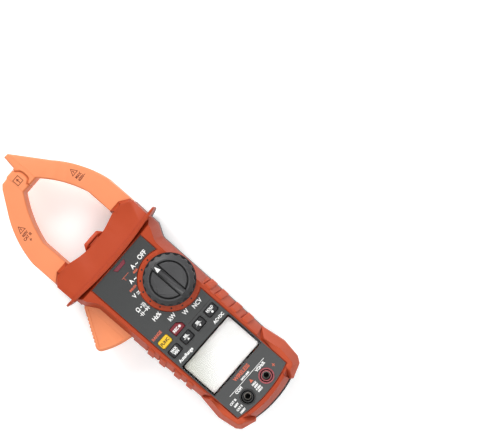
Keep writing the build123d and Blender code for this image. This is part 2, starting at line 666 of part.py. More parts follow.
def side_grip(side):
    """A soft side grip: a thin skin let into the wall, with proud slanted pads, each below a groove."""
    outline = body_outline(BASE_STRIP_RISE)
    zone = grip_zone(side)
    skin = bevelled(outline, 0, SPLIT_Z, RIM_Z)
    inside = bevelled(outline, -GRIP_SKIN, SPLIT_Z, RIM_Z)
    proud = bevelled(outline, GRIP_PAD_RISE, SPLIT_Z, RIM_Z)
    low, high = SPLIT_Z + 2.5, RIM_Z - 1.6
    top = KNOB_Y - KNOB_RING_RADIUS - 1.2
    for below in GRIP_PADS_BELOW:
        skin += slanted(side, top - below - GRIP_PAD_LENGTH, GRIP_PAD_LENGTH, low, high) & proud
        skin -= slanted(side, top - below, 0.8, low, high) - bevelled(outline, -0.8, SPLIT_Z, RIM_Z)
    return (skin & zone) - inside


def face_overlay():
    plate = panel_outline(PANEL_GAP) - lens_outline(0.1) - alarm_outline(0.05)
    for name in KEYS:
        plate -= key_outline(name, KEY_GAP)
    for x in JACKS.values():
        plate -= Pos(x, JACK_Y) * Circle(JACK_RADIUS + 0.1)
    return prism(plate, PANEL_FLOOR_Z, OVERLAY_TOP_Z)


# ---------------------------------------------------------------- rear case and battery

def rear_case():
    outline = body_outline(BASE_STRIP_SAG)
    edge = 2.6
    body = prism(outline, edge, SPLIT_Z) + extrude(Pos(0, 0, edge) * outline, amount=-edge, taper=40)
    head = chamfered_prism(grown(head_outline(), -0.1), HEAD_BACK_Z, SPLIT_Z, 1.6, low=True, high=False)
    shell = body + head + barrier(0, SPLIT_Z)
    floor = DOOR_TOP_Z
    cavity = prism(grown(outline, -WALL), floor + LEDGE_THICKNESS, SPLIT_Z + 1)
    head_cavity = prism(grown(head_outline(), -WALL), HEAD_BACK_Z + WALL, SPLIT_Z + 1)
    passage = block(-SHOULDER_HALF + WALL, SHOULDER_HALF - WALL, BARRIER_Y - 4, BARRIER_Y + 4,
                    HEAD_BACK_Z + WALL, SPLIT_Z + 1)
    shell -= cavity + head_cavity + passage

    wall = BAY_WALL
    shell += block(-BAY_HALF - wall, BAY_HALF + wall, BAY_Y0 - wall, BAY_Y1 + wall, floor, BAY_ROOF_Z + wall)
    for x, y in CASE_SCREWS:
        shell += rod(x, y, BOSS_RADIUS, floor, SPLIT_Z)
    for x, y in DOOR_SCREWS:
        shell += rod(x, y, BOSS_RADIUS, floor, SPLIT_Z)
    shell += rod(PIVOT_X, PIVOT_Y, PIN_RADIUS + 2.0, HEAD_BACK_Z + 1, JAW_LOW_Z - MOVING_GAP)
    post_x, post_y = around_pivot(9.6, 110)
    shell += rod(post_x, post_y, 1.3, HEAD_BACK_Z + 1, JAW_LOW_Z - MOVING_GAP)

    shell -= block(-DOOR_HALF - 0.2, DOOR_HALF + 0.2, DOOR_Y0 - 0.2, DOOR_Y1 + 0.2, -1, floor)
    shell -= block(-BAY_HALF, BAY_HALF, BAY_Y0, BAY_Y1, -1, BAY_ROOF_Z)
    for x, y in CASE_SCREWS:
        shell -= rod(x, y, SCREW_RADIUS + 0.2, -1, SPLIT_Z + 1)
        shell -= rod(x, y, SCREW_HEAD_RADIUS + 0.4, -1, SCREW_HEAD_HEIGHT + 2.0)
    for x, y in DOOR_SCREWS:
        shell -= rod(x, y, SCREW_RADIUS + 0.1, -1, SPLIT_Z - 1.5)
    shell -= rod(PIVOT_X, PIVOT_Y, PIN_RADIUS, HEAD_BACK_Z + 1.6, SPLIT_Z)
    shell -= moving_jaw_room() + fixed_jaw_room()
    return shell


def battery_door():
    plate = chamfered_prism(
        Pos(0, (DOOR_Y0 + DOOR_Y1) / 2) * RectangleRounded(2 * DOOR_HALF, DOOR_Y1 - DOOR_Y0, 1.2),
        DOOR_RECESS, DOOR_TOP_Z, 0.4, low=True, high=False)
    for step in range(7):
        y = (DOOR_Y0 + DOOR_Y1) / 2 + (step - 3) * 3.2
        plate -= block(-9, 9, y - 0.6, y + 0.6, -1, DOOR_RECESS + 0.6)
    for x, y in DOOR_SCREWS:
        plate -= rod(x, y, SCREW_HEAD_RADIUS + 0.2, -1, DOOR_RECESS + 1.2)
        plate -= rod(x, y, SCREW_RADIUS + 0.1, -1, DOOR_TOP_Z + 1)
    return plate


def screw(x, y, seat_z, length, radius=SCREW_RADIUS, head=SCREW_HEAD_RADIUS, height=SCREW_HEAD_HEIGHT):
    """A pan-head screw driven upwards, its head's seat at seat_z, with a cross recess."""
    made = rod(x, y, radius, seat_z, seat_z + length)
    cap = rod(x, y, head, seat_z - height, seat_z)
    cap = chamfer(cap.faces().sort_by(Axis.Z)[0].edges(), height * 0.3)
    made += cap
    for wide, high in ((head * 1.2, head * 0.28), (head * 0.28, head * 1.2)):
        made -= block(x - wide / 2, x + wide / 2, y - high / 2, y + high / 2, seat_z - height - 1,
                      seat_z - height * 0.45)
    return made


def case_screws():
    seat = SCREW_HEAD_HEIGHT + 2.0
    return Compound(children=[screw(x, y, seat, CAVITY_TOP_Z - 4 - seat) for x, y in CASE_SCREWS])


def door_screws():
    return Compound(children=[
        screw(x, y, DOOR_RECESS + 1.2, SPLIT_Z - 4.0, height=1.1) for x, y in DOOR_SCREWS])


def board_screws():
    length = CAVITY_TOP_Z - 1.0 - BOARD_Z
    return Compound(children=[
        screw(x, y, BOARD_Z, length, BOARD_SCREW_RADIUS, 2.0, 1.2) for x, y in BOARD_POSTS])


def battery():
    y0 = BAY_Y0 + 0.4
    can = block(-BATTERY_WIDTH / 2, BATTERY_WIDTH / 2, y0, y0 + BATTERY_LENGTH,
                BATTERY_Z, BATTERY_Z + BATTERY_THICKNESS)
    can = fillet(can.edges().filter_by(Axis.Y), 2.0)
    return can


def battery_terminals():
    """The block's two snaps: a hexagonal socket and a round stud."""
    y = BAY_Y0 + 0.4 + BATTERY_LENGTH
    z = BATTERY_Z + BATTERY_THICKNESS / 2
    towards_top = Rot(-90, 0, 0)
    stud = Pos(-6.35, y + TERMINAL_HEIGHT / 2, z) * towards_top * Cylinder(2.8, TERMINAL_HEIGHT)
    socket = Pos(6.35, y, z) * towards_top * extrude(RegularPolygon(4.2, 6), amount=TERMINAL_HEIGHT)
    return Compound(children=[stud.solid(), socket.solid()])


def battery_clip():
    """The snap connector's plate, on the bay's end wall."""
    y = BAY_Y0 + 0.4 + BATTERY_LENGTH + TERMINAL_HEIGHT
    z = BATTERY_Z + BATTERY_THICKNESS / 2
    plate = block(-12.4, 12.4, y, BAY_Y1, z - 6.2, z + 6.2)
    return fillet(plate.edges().filter_by(Axis.Y), 2.0)


def battery_pad():
    return block(-BAY_HALF + 1.4, BAY_HALF - 1.4, BAY_Y0 + 4, BAY_Y1 - 8, DOOR_TOP_Z, BATTERY_Z)


# ---------------------------------------------------------------- display, board and switch

def lcd_lens():
    return prism(lens_outline(0.0), PANEL_FLOOR_Z - 0.3, OVERLAY_TOP_Z + 0.1)


def lcd_frame():
    """The dark border under the lens."""
    frame = lens_outline(0.0) - Pos(0, WINDOW_Y) * RectangleRounded(WINDOW_WIDTH, WINDOW_HEIGHT, 1.0)
    return prism(frame, PANEL_FLOOR_Z - 0.6, PANEL_FLOOR_Z - 0.3)


def lcd_glass():
    return block(-WINDOW_WIDTH / 2 - 1, WINDOW_WIDTH / 2 + 1, WINDOW_Y - WINDOW_HEIGHT / 2 - 1,
                 WINDOW_Y + WINDOW_HEIGHT / 2 + 1, CAVITY_TOP_Z - 2.0, CAVITY_TOP_Z)


def lcd_backlight():
    return block(-WINDOW_WIDTH / 2 - 1, WINDOW_WIDTH / 2 + 1, WINDOW_Y - WINDOW_HEIGHT / 2 - 1,
                 WINDOW_Y + WINDOW_HEIGHT / 2 + 1, BOARD_TOP_Z, CAVITY_TOP_Z - 2.0)


def alarm_lens():
    body = prism(alarm_outline(-0.05), CAVITY_TOP_Z - 0.8, OVERLAY_TOP_Z + 0.25)
    return chamfer(body.faces().sort_by(Axis.Z)[-1].edges(), 0.3)


def main_board():
    half = WAIST_HALF - WALL - BEVEL_INSET * (BOARD_TOP_Z - BEVEL_Z) / (RIM_Z - BEVEL_Z) - 0.4
    board = block(-half, half, BASE_Y + 9.0, BARRIER_Y - 4.2, BOARD_Z, BOARD_TOP_Z)
    for x, y in CASE_SCREWS:
        board -= rod(x, y, BOSS_RADIUS + 0.3, BOARD_Z, BOARD_TOP_Z)
    for side in (1, -1):
        inner, outer = CASE_SCREWS[0][0] - BOSS_RADIUS - 0.3, half + 1
        board -= block(min(side * inner, side * outer), max(side * inner, side * outer), BASE_Y,
                       CASE_SCREWS[0][1], BOARD_Z, BOARD_TOP_Z)
    for x in JACKS.values():
        board -= rod(x, JACK_Y, JACK_RADIUS + 0.2, BOARD_Z, BOARD_TOP_Z)
    for x, y in BOARD_POSTS:
        board -= rod(x, y, BOARD_SCREW_RADIUS + 0.1, BOARD_Z, BOARD_TOP_Z)
    return board


def board_chips():
    """Packages on the board's top, between the keys and the display side."""
    chips = [
        block(-20, -11, KNOB_Y + 4, KNOB_Y + 13, BOARD_TOP_Z, BOARD_TOP_Z + 1.6),
        block(-20, -14, KNOB_Y - 1, KNOB_Y + 2, BOARD_TOP_Z, BOARD_TOP_Z + 1.2),
        block(-9, -4, KNOB_Y + 12, KNOB_Y + 18, BOARD_TOP_Z, BOARD_TOP_Z + 1.4),
        block(-5, 3, JACK_Y + 8, JACK_Y + 13, BOARD_TOP_Z, BOARD_TOP_Z + 1.6),
        block(8, 14, KNOB_Y + 18, KNOB_Y + 23, BOARD_TOP_Z, BOARD_TOP_Z + 1.2),
    ]
    return Compound(children=[chip.solid() for chip in chips])


def radio_module():
    """The wireless module's screening can."""
    return block(-20, -9, KNOB_Y + 19, KNOB_Y + 29, BOARD_TOP_Z, BOARD_TOP_Z + 2.0)


def piezo_buzzer():
    return tube(-13, KNOB_Y - 15.5, 4.6, 1.0, BOARD_TOP_Z, BOARD_TOP_Z + 3.0)


def keypad_mat():
    """The rubber mat with a dome under each key."""
    columns = [x for x, _ in KEYS.values()]
    mat = block(min(columns) - 5.6, max(columns) + 5.6, KEY_LOW_Y - 4.2, KEY_HIGH_Y + 4.2,
                BOARD_TOP_Z, BOARD_TOP_Z + 0.6)
    for x, y in KEYS.values():
        mat += Pos(x, y, BOARD_TOP_Z + 1.0) * Cone(2.6, 1.6, 0.8)
    return mat


def key(name):
    """A key: cap through the panel, a flange that holds it in, and a short stem over its dome."""
    x, y = KEYS[name]
    top = OVERLAY_TOP_Z + KEY_STAND_PROUD
    flange_top = CAVITY_TOP_Z - 0.15
    dome_top = BOARD_TOP_Z + 1.4
    cap = chamfered_prism(key_outline(name, 0.0), flange_top, top, 0.5)
    flange = prism(key_outline(name, 1.0), flange_top - 1.0, flange_top)
    stem = rod(x, y, 1.6, dome_top + KEY_TRAVEL + 0.1, flange_top - 1.0)
    return cap + flange + stem


def knob():
    x, y = KNOB_OFFSET_X, KNOB_Y
    shoulder = KNOB_TOP_Z - 3.4
    skirt = rod(x, y, KNOB_RADIUS, KNOB_FOOT_Z, shoulder)
    rise = KNOB_TOP_Z - 1.0 - shoulder
    slope = Cone(KNOB_RADIUS - 0.3, KNOB_RECESS_RADIUS + 1.1, rise)
    body = skirt + Pos(x, y, shoulder + rise / 2) * slope
    for step in range(KNOB_SCALLOPS):
        angle = radians((step + 0.5) * 360 / KNOB_SCALLOPS)
        reach = KNOB_RADIUS + 1.5
        body -= rod(x + reach * cos(angle), y + reach * sin(angle), 2.5, KNOB_FOOT_Z - 1, KNOB_TOP_Z)
    floor = KNOB_TOP_Z - KNOB_RECESS_DEPTH
    body -= rod(x, y, KNOB_RECESS_RADIUS, floor, KNOB_TOP_Z)
    bar_half = KNOB_BAR_WIDTH / 2
    bar = block(x - bar_half, x + bar_half, y - KNOB_RECESS_RADIUS - 0.6, y + KNOB_RECESS_RADIUS + 1.2,
                floor - 0.5, KNOB_TOP_Z)
    bar = chamfer(bar.faces().sort_by(Axis.Z)[-1].edges(), 0.6)
    dish = rod(x, y, KNOB_RECESS_RADIUS - KNOB_GROOVE, floor - 0.5, floor + KNOB_DISH_HEIGHT)
    slot_half = bar_half + 0.75 * KNOB_GROOVE
    dish -= block(x - slot_half, x + slot_half, y - KNOB_RADIUS, y + KNOB_RADIUS, floor, KNOB_TOP_Z)
    body += dish + bar
    body -= rod(x, y, ROTOR_STEM_RADIUS + 0.05, KNOB_FOOT_Z - 1, KNOB_FOOT_Z + 3.2)
    body -= prism(pointer_outline(), KNOB_TOP_Z - 0.5, KNOB_TOP_Z + 1)
    return body


def pointer_outline():
    """The knob's pointer, a triangle near the end of its bar."""
    tip = KNOB_Y + KNOB_RECESS_RADIUS - 0.3
    x = KNOB_OFFSET_X
    half = KNOB_BAR_WIDTH / 2 - 0.65
    return polygon((x - half, tip - 4.2), (x + half, tip - 4.2), (x, tip))


def knob_pointer():
    return prism(pointer_outline(), KNOB_TOP_Z - 0.5, KNOB_TOP_Z + 0.05)


def switch_rotor():
    """The contact carrier under the face, with the stem that the knob presses onto."""
    x, y = KNOB_OFFSET_X, KNOB_Y
    low = BOARD_TOP_Z + 1.0
    disc = rod(x, y, ROTOR_RADIUS, low, low + 1.4)
    return disc + rod(x, y, ROTOR_STEM_RADIUS, low, KNOB_FOOT_Z + 3.0)


def switch_wipers():
    """Sprung contact fingers between the carrier and the board's tracks."""
    x, y = KNOB_OFFSET_X, KNOB_Y
    fingers = []
    for angle in (30, 150, 270):
        finger = Pos(7.4, 0, 0) * Box(3.0, 1.2, 0.95, align=(Align.CENTER, Align.CENTER, Align.MIN))
        placed = Pos(x, y, BOARD_TOP_Z + 0.05) * Rot(0, 0, angle) * finger
        fingers.append(placed.solid())
    return Compound(children=fingers)


def detent_spring():
    """A leaf on the carrier whose two round tips click along the notched ring."""
    x, y = KNOB_OFFSET_X, KNOB_Y
    low = BOARD_TOP_Z + 2.4
    reach = DETENT_RING_RADIUS - 1.0
    leaf = block(x - reach, x + reach, y - 1.6, y + 1.6, low, low + 0.5)
    leaf += rod(x, y, ROTOR_STEM_RADIUS + 1.6, low, low + 0.5)
    for side in (1, -1):
        leaf += rod(x + side * reach, y, 0.7, low, low + 1.4)
    return leaf - rod(x, y, ROTOR_STEM_RADIUS, low - 1, low + 2)


# ---------------------------------------------------------------- input jacks

def jack_body(x):
    """The insulated socket: outer wall, deep ring for the plug's shroud, and a centre tube."""
    top = OVERLAY_TOP_Z + JACK_RISE
    low = top - JACK_DEPTH
    body = rod(x, JACK_Y, JACK_RADIUS, low, top)
    body -= tube(x, JACK_Y, JACK_RADIUS - JACK_RING_WALL, JACK_TUBE_RADIUS, low + 1.6, top + 1)
    body -= rod(x, JACK_Y, JACK_TUBE_RADIUS + 0.1, top - 0.4, top + 1)
    body -= rod(x, JACK_Y, PLUG_RADIUS + SLEEVE_WALL, low + 1.6, top + 1)
    body -= rod(x, JACK_Y, JACK_MOUTH_RADIUS, top - SLEEVE_DEPTH, top + 1)
    return body


def jack_sleeve(x):
    """The brass contact sleeve for a 4 mm plug."""
    top = OVERLAY_TOP_Z + JACK_RISE - SLEEVE_DEPTH
    return tube(x, JACK_Y, PLUG_RADIUS + SLEEVE_WALL, PLUG_RADIUS, top - SLEEVE_LENGTH, top)


# ---------------------------------------------------------------- jaws

def end_pad(outline):
    """The plain end of a jaw, beside the closing line, which stands a little proud of the arm."""
    reach = Pos(0.45, CLOSE_IN_Y + 14) * Rectangle(2 * END_PAD_HALF, 30)
    return prism(grown(outline, -JAW_EDGE) & reach, JAW_HIGH_Z - 0.5, JAW_HIGH_Z + END_PAD_RISE)


def jaw_half(outline, front, thickness, edge):
    """One half of a jaw or lever, split on the jaws' middle plane, its outer edge chamfered."""
    rear = chamfered_prism(outline, JAW_MID_Z - thickness / 2, JAW_MID_Z, edge, low=True, high=False)
    return mirror(rear, Plane.XY.offset(JAW_MID_Z)) if front else rear


def jaw_hollow(outline, thickness):
    """The room inside a jaw or lever, within its wall."""
    deep = thickness / 2 - JAW_WALL
    return prism(outline, JAW_MID_Z - deep, JAW_MID_Z + deep)


def fixed_jaw(front):
    outline = fixed_jaw_outline()
    half = jaw_half(outline, front, JAW_THICKNESS, JAW_EDGE)
    half -= jaw_hollow(grown(outline, -JAW_WALL), JAW_THICKNESS)
    return half + end_pad(outline) if front else half


def serrations():
    """Grooves across the trigger's thumb edge."""
    start = (-SHOULDER_HALF - 0.2, BARRIER_Y - 7.8)
    end = around_pivot(TRIGGER_RADIUS, 231.6)
    cuts = None
    count = 8
    for step in range(count):
        share = 0.22 + 0.58 * step / (count - 1)
        x = start[0] + (end[0] - start[0]) * share
        y = start[1] + (end[1] - start[1]) * share
        groove = rod(x, y, 0.55, TRIGGER_LOW_Z - 1, TRIGGER_HIGH_Z + 1)
        cuts = groove if cuts is None else cuts + groove
    return cuts


def moving_jaw(front):
    hub = jaw_hollow(lever_outline(), JAW_THICKNESS + 2 * JAW_WALL)
    lever = trigger_outline()
    lever_room = grown(lever, -JAW_WALL) - Pos(PIVOT_X, PIVOT_Y) * Circle(FOOT_RADIUS + JAW_WALL)
    low, high = (JAW_MID_Z, RIM_Z) if front else (0, JAW_MID_Z)
    half = jaw_half(moving_arm_outline(), front, JAW_THICKNESS, JAW_EDGE)
    half += hub & block(-BARRIER_HALF, BARRIER_HALF, BASE_Y, TIP_Y, low, high)
    half += jaw_half(lever, front, TRIGGER_THICKNESS, TRIGGER_EDGE)
    half -= jaw_hollow(lever_room, TRIGGER_THICKNESS) + serrations()
    if front:
        half += end_pad(moving_arm_outline())
        half -= prism(thumb_field(), TRIGGER_HIGH_Z - THUMB_FIELD_DEPTH, JAW_HIGH_Z)
    half -= jaw_hollow(moving_core_outline(FIT_GAP), JAW_THICKNESS)
    return half - rod(PIVOT_X, PIVOT_Y, PIN_RADIUS + PIN_GAP, JAW_LOW_Z - 1, JAW_HIGH_Z + 1)


def jaw_core(outline):
    deep = JAW_THICKNESS / 2 - JAW_WALL - FIT_GAP
    return prism(outline, JAW_MID_Z - deep, JAW_MID_Z + deep)


def hall_sensor():
    """The field sensor on its small board, in the fixed jaw's closing end."""
    y = (CLOSE_IN_Y + CLOSE_OUT_Y) / 2
    board = block(5.6, 6.6, y - 3.4, y + 3.4, JAW_MID_Z - 4, JAW_MID_Z + 4)
    return board


def pivot_pin():
    pin = rod(PIVOT_X, PIVOT_Y, PIN_RADIUS, HEAD_BACK_Z + 1.6, JAW_HIGH_Z + 2.6)
    return chamfer(pin.edges().filter_by(GeomType.CIRCLE), 0.3)


def jaw_spring():
    """The torsion spring round the rear pivot boss, one leg on the case post, one on the lever."""
    wire, coil_radius, turns = 0.5, 6.0, 2.5
    low = HEAD_BACK_Z + WALL + 0.7
    pitch = (JAW_LOW_Z - MOVING_GAP - 0.7 - low) / turns
    helix = Pos(PIVOT_X, PIVOT_Y, low) * Helix(pitch=pitch, height=pitch * turns, radius=coil_radius)
    start = helix @ 0
    section = Plane(origin=start, z_dir=helix % 0) * Circle(wire)
    coil = sweep(section, path=helix)
    end = helix @ 1
    for point, way in ((start, -(helix % 0)), (end, helix % 1)):
        leg = Plane(origin=point, z_dir=Vector(way.X, way.Y, 0)) * Circle(wire)
        coil += extrude(leg, amount=4.0)
    return coil


# ---------------------------------------------------------------- lamp between the jaws

def lamp_outline():
    """Plan of the nose: a stem through the head's wall and a wider front."""
    wide, stem = LAMP_WIDTH / 2, LAMP_STEM / 2
    shape = polygon(
        (-stem, LAMP_Y), (stem, LAMP_Y), (stem, LAMP_Y + 3.4), (wide, LAMP_Y + 3.6),
        (wide - 2.7, LAMP_Y + LAMP_LENGTH), (2.7 - wide, LAMP_Y + LAMP_LENGTH),
        (-wide, LAMP_Y + 3.6), (-stem, LAMP_Y + 3.4))
    return fillet(shape.vertices().group_by(Axis.Y)[-1], 1.0)


def lamp_rod(radius, start, length):
    """A cylinder along the lamp's axis, from start up along the meter."""
    along = Rot(-90, 0, 0) * Cylinder(radius, length)
    return Pos(0, LAMP_Y + start + length / 2, JAW_MID_Z) * along


def lamp_holder():
    """The nose between the jaw roots that carries the work lamp."""
    low, high = JAW_MID_Z - LAMP_STEM / 2, JAW_MID_Z + LAMP_STEM / 2
    nose = chamfered_prism(lamp_outline(), low, high, 1.6, low=True)
    return nose - lamp_rod(LAMP_RADIUS, LAMP_LENGTH - 3.2, 4.0)


def lamp_lens():
    return lamp_rod(LAMP_RADIUS, LAMP_LENGTH - 1.0, 1.2)


def lamp_led():
    return lamp_rod(LAMP_RADIUS - 1.1, LAMP_LENGTH - 3.2, 1.8)


# ---------------------------------------------------------------- build

def main():
    os.makedirs("parts", exist_ok=True)
    nodes = {
        "front_case": front_case(),
        "rear_case": rear_case(),
        "face_overlay": face_overlay(),
        "side_grip_right": side_grip(1),
        "side_grip_left": side_grip(-1),
        "base_bumper_right": base_bumper(1),
        "base_bumper_left": base_bumper(-1),
        "lcd_lens": lcd_lens(),
        "lcd_frame": lcd_frame(),
        "lcd_glass": lcd_glass(),
        "lcd_backlight": lcd_backlight(),
        "alarm_lens": alarm_lens(),
        "main_board": main_board(),
        "board_chips": board_chips(),
        "board_screws": board_screws(),
        "radio_module": radio_module(),
        "piezo_buzzer": piezo_buzzer(),
        "keypad_mat": keypad_mat(),
        "knob": knob(),
        "knob_pointer": knob_pointer(),
        "switch_rotor": switch_rotor(),
        "switch_wipers": switch_wipers(),
        "detent_spring": detent_spring(),
        "battery_door": battery_door(),
        "door_screws": door_screws(),
        "battery_pad": battery_pad(),
        "battery": battery(),
        "battery_terminals": battery_terminals(),
        "battery_clip": battery_clip(),
        "case_screws": case_screws(),
        "fixed_jaw_front": fixed_jaw(True),
        "fixed_jaw_rear": fixed_jaw(False),
        "fixed_jaw_core": jaw_core(fixed_core_outline()),
        "hall_sensor": hall_sensor(),
        "moving_jaw_front": moving_jaw(True),
        "moving_jaw_rear": moving_jaw(False),
        "moving_jaw_core": jaw_core(moving_core_outline(0.0)),
        "pivot_pin": pivot_pin(),
        "jaw_spring": jaw_spring(),
        "lamp_holder": lamp_holder(),
        "lamp_lens": lamp_lens(),
        "lamp_led": lamp_led(),
    }
    for name, x in JACKS.items():
        nodes[f"jack_body_{name}"] = jack_body(x)
        nodes[f"jack_sleeve_{name}"] = jack_sleeve(x)
    for name in KEYS:
        nodes[name] = key(name)
    for name, shape in nodes.items():
        save(name, shape)


main()
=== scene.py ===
"""Looks of the clamp meter: finishes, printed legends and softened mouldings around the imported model."""

import json
import math

import bpy
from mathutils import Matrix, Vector


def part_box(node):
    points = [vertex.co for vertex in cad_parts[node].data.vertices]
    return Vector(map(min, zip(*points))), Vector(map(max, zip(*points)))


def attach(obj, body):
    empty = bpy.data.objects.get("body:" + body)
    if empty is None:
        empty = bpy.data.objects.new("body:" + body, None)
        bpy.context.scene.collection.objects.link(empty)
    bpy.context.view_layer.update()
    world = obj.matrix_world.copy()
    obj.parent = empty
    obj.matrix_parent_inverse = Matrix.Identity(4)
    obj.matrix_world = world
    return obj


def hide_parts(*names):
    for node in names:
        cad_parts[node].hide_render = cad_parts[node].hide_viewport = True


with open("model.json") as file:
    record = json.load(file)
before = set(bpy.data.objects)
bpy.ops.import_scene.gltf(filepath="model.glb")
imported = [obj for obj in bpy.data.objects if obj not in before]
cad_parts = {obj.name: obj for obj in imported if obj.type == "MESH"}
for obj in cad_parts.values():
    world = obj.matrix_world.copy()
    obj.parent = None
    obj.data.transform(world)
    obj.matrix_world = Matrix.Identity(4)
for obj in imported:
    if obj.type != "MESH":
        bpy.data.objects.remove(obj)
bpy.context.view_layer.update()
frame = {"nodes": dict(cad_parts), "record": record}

MM = 0.001
RIM_LEVEL = 37.0 * MM
SLOTS = {entry["node"]: entry["material_slot"] for entry in frame["record"]["subparts"]}
BODIES = {node: body for body, nodes in frame["record"]["behaviour"]["bodies"].items() for node in nodes}
bpy.context.scene.view_settings.view_transform = "Standard"


# ---------------------------------------------------------------- camera, floor and light

CAMERA_HEIGHT = 0.900
CAMERA_AT = (0.0800, -0.0244)
CAMERA_TURN = math.radians(-48.8)
LENS = 94.9
WORLD_STRENGTH = 0.36
LIGHTS = {
    "key": ((0.45, 1.25, 0.85), 1.0, 24.0),
    "left": ((-1.0, 0.1, 1.15), 1.0, 4.0),
    "right": ((0.9, -0.3, 1.15), 1.0, 4.0),
    "foot": ((-0.12, -0.42, 1.15), 0.6, 4.6),
}


def make_camera():
    """Straight above, looking down, with the meter lying across the frame."""
    data = bpy.data.cameras.new("overhead")
    data.lens = LENS
    data.sensor_width = 36
    camera = bpy.data.objects.new("overhead", data)
    bpy.context.collection.objects.link(camera)
    camera.location = (*CAMERA_AT, CAMERA_HEIGHT)
    camera.rotation_euler = (0, 0, CAMERA_TURN)
    bpy.context.scene.camera = camera


def make_light(name, place, size, power):
    """A square soft box at that place, turned to the middle of the meter."""
    data = bpy.data.lights.new(name, "AREA")
    data.shape = "SQUARE"
    data.size = size
    data.energy = power
    lamp = bpy.data.objects.new(name, data)
    bpy.context.collection.objects.link(lamp)
    lamp.location = place
    lamp.rotation_euler = (-Vector(place)).to_track_quat("-Z", "Y").to_euler()


def make_world():
    """Even white light from all round, as in a light tent."""
    world = bpy.data.worlds.new("studio")
    world.use_nodes = True
    world.node_tree.nodes["Background"].inputs["Color"].default_value = (1.0, 1.0, 1.0, 1)
    world.node_tree.nodes["Background"].inputs["Strength"].default_value = WORLD_STRENGTH
    bpy.context.scene.world = world


# ---------------------------------------------------------------- small tools

def linear(code):
    """An sRGB hex colour as the linear values that a shader takes."""
    values = [int(code[i:i + 2], 16) / 255 for i in (1, 3, 5)]
    return (*[v / 12.92 if v <= 0.04045 else ((v + 0.055) / 1.055) ** 2.4 for v in values], 1.0)


def add(tree, kind, inputs=None, **settings):
    """Adds a node. An input is a value, or another node's output, which is linked."""
    made = tree.nodes.new(kind)
    for name, value in settings.items():
        setattr(made, name, value)
    for name, value in (inputs or {}).items():
        if isinstance(value, bpy.types.NodeSocket):
            tree.links.new(value, made.inputs[name])
        else:
            made.inputs[name].default_value = value
    return made


def new_material(name):
    """An empty node material: its tree and its principled shader."""
    made = bpy.data.materials.new(name)
    made.use_nodes = True
    return made, made.node_tree, made.node_tree.nodes["Principled BSDF"]


def moulded(name, tone, shade, roughness, grain, depth, patch=14.0, ior=1.42):
    """Injection-moulded plastic: a spark-eroded grain of that size, under slow flow marks in the colour."""
    made, tree, shader = new_material(name)
    place = add(tree, "ShaderNodeTexCoord").outputs["Object"]
    flow = add(tree, "ShaderNodeTexNoise", {"Vector": place, "Scale": 1000 / patch, "Detail": 3.0})
    tones = add(tree, "ShaderNodeMix", {"Factor": flow.outputs["Fac"]}, data_type="RGBA")
    tones.inputs["A"].default_value = linear(shade)
    tones.inputs["B"].default_value = linear(tone)
    tree.links.new(tones.outputs["Result"], shader.inputs["Base Color"])
    fine = add(tree, "ShaderNodeTexNoise", {"Vector": place, "Scale": 1000 / grain, "Detail": 2.0})
    spread = add(tree, "ShaderNodeMapRange", {"Value": fine.outputs["Fac"], "From Min": 0.3, "From Max": 0.7,
                                              "To Min": roughness - 0.06, "To Max": roughness + 0.06})
    tree.links.new(spread.outputs["Result"], shader.inputs["Roughness"])
    bump = add(tree, "ShaderNodeBump", {"Height": fine.outputs["Fac"], "Strength": 0.6,
                                        "Distance": depth * MM})
    tree.links.new(bump.outputs["Normal"], shader.inputs["Normal"])
    shader.inputs["IOR"].default_value = ior
    return made


def socket_nylon_painted_shade(rim, depth):
    """Nylon socket: a coloured rim and centre ring, with painted shade: near-black below the mouth, inside
    the socket.
    """
    made, tree, shader = new_material("nylon, red, painted shade inside")
    place = add(tree, "ShaderNodeTexCoord").outputs["Object"]
    level = add(tree, "ShaderNodeSeparateXYZ", {"Vector": place}).outputs["Z"]
    # painted shade: the depth colour fills the socket below the mouth, where shade falls
    above = add(tree, "ShaderNodeMapRange", {"Value": level, "From Min": 0.0345, "From Max": 0.0359})
    tones = add(tree, "ShaderNodeMix", {"Factor": above.outputs["Result"]}, data_type="RGBA")
    tones.inputs["A"].default_value = linear(depth)
    tones.inputs["B"].default_value = linear(rim)
    tree.links.new(tones.outputs["Result"], shader.inputs["Base Color"])
    fine = add(tree, "ShaderNodeTexNoise", {"Vector": place, "Scale": 1000 / 0.8, "Detail": 2.0})
    spread = add(tree, "ShaderNodeMapRange", {"Value": fine.outputs["Fac"], "To Min": 0.28, "To Max": 0.4})
    tree.links.new(spread.outputs["Result"], shader.inputs["Roughness"])
    return made


def display_glass():
    """Liquid crystal glass, unlit and pale, with painted shade: darker and greener towards one corner."""
    made, tree, shader = new_material("liquid crystal glass")
    place = add(tree, "ShaderNodeTexCoord").outputs["Object"]
    along = add(tree, "ShaderNodeMapping", {"Vector": place, "Rotation": (0, 0, math.radians(36.9)),
                                            "Scale": (36, 36, 36), "Location": (-0.66, 0, 0)})
    painted_shade_ramp = add(tree, "ShaderNodeTexGradient", {"Vector": along.outputs["Vector"]}, gradient_type="EASING")
    tones = add(tree, "ShaderNodeMix", {"Factor": painted_shade_ramp.outputs["Fac"]}, data_type="RGBA")
    # painted shade: the darker, greener tone at one corner; the near-white is the glass's own tone
    tones.inputs["A"].default_value = linear("#CFD1C4")
    tones.inputs["B"].default_value = linear("#FBFBF9")
    tree.links.new(tones.outputs["Result"], shader.inputs["Base Color"])
    shader.inputs["Roughness"].default_value = 0.3
    return made


